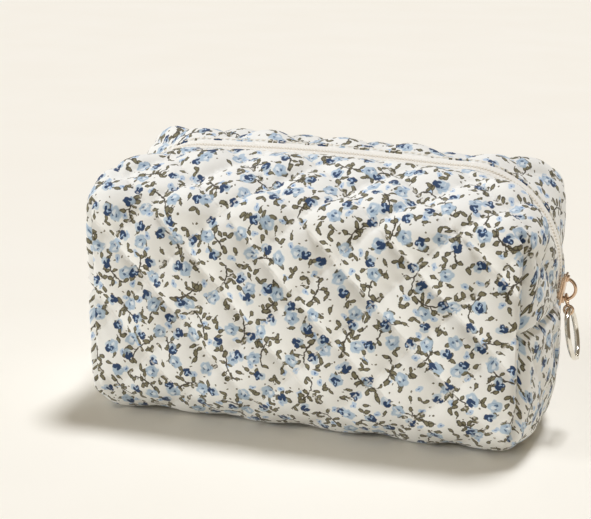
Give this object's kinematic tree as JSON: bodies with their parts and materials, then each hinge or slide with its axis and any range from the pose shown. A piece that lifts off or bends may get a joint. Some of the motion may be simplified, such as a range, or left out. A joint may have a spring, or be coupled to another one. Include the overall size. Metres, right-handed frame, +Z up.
{
  "type": "makeup bag",
  "caption": "Boxy quilted cotton makeup bag with a zip over the top and down both ends, a lining, and a slider with a ring pull.",
  "frame": {"origin": "middle of the flat base, on the surface that the bag stands on", "axes": "+X along the zip to the end where its slider parks, +Y from the front wall to the rear wall, +Z up"},
  "size_m": [0.2263, 0.104, 0.1217],
  "materials": {
    "quilted_cotton": "soft matte quilted cotton with a small blue floral print",
    "lining_cloth": "plain matte woven lining",
    "binding_tape": "plain bias tape, folded and stitched",
    "zip_tape": "cream herringbone-woven zip tape",
    "zip_nylon": "satin moulded nylon coil",
    "gilt_metal": "polished light gold plating",
    "ring_metal": "polished pale gold plating"
  },
  "bodies": {
    "bag": {"body_wrap_panel": "quilted_cotton", "left_end_lower_panel": "quilted_cotton", "right_end_lower_panel": "quilted_cotton", "left_end_upper_front_panel": "quilted_cotton", "left_end_upper_rear_panel": "quilted_cotton", "right_end_upper_front_panel": "quilted_cotton", "right_end_upper_rear_panel": "quilted_cotton", "lining_bag": "lining_cloth", "front_left_corner_binding": "binding_tape", "rear_left_corner_binding": "binding_tape", "front_right_corner_binding": "binding_tape", "rear_right_corner_binding": "binding_tape", "left_end_seam_binding": "binding_tape", "right_end_seam_binding": "binding_tape", "zip_tape_front_left_end": "zip_tape", "zip_tape_front_right_end": "zip_tape", "zip_tape_rear_left_end": "zip_tape", "zip_tape_rear_right_end": "zip_tape", "zip_coil_front_left_end": "zip_nylon", "zip_coil_front_right_end": "zip_nylon", "zip_coil_rear_left_end": "zip_nylon", "zip_coil_rear_right_end": "zip_nylon"},
    "front_flap": {"front_top_flap": "quilted_cotton", "front_flap_lining": "lining_cloth", "zip_tape_front_top": "zip_tape", "zip_coil_front_top": "zip_nylon"},
    "rear_flap": {"rear_top_flap": "quilted_cotton", "rear_flap_lining": "lining_cloth", "zip_tape_rear_top": "zip_tape", "zip_coil_rear_top": "zip_nylon"},
    "zip_slider": {"slider_body": "gilt_metal", "slider_bail": "gilt_metal"},
    "puller_link": {"puller_link": "gilt_metal"},
    "puller_ring": {"puller_ring": "ring_metal"}
  },
  "joints": [
    {"name": "front_flap_fold", "type": "hinge", "parent": "bag", "child": "front_flap", "pos_m": [0, -0.052, 0.096], "axis": [1, 0, 0], "range_deg": [0, 40]},
    {"name": "rear_flap_fold", "type": "hinge", "parent": "bag", "child": "rear_flap", "pos_m": [0, 0.052, 0.096], "axis": [-1, 0, 0], "range_deg": [0, 40]},
    {"name": "slider_travel", "type": "hinge", "parent": "bag", "child": "zip_slider", "pos_m": [0.062, 0, 0.075], "axis": [0, -1, 0], "range_deg": [0, 83]},
    {"name": "puller_link_swing", "type": "hinge", "parent": "zip_slider", "child": "puller_link", "pos_m": [0.10989, 0, 0.06802], "axis": [0, -1, 0], "range_deg": [0, 136]},
    {"name": "puller_ring_swing", "type": "hinge", "parent": "puller_link", "child": "puller_ring", "pos_m": [0.11193, 0, 0.05844], "axis": [0, -1, 0], "range_deg": [-10, 45]}
  ]
}
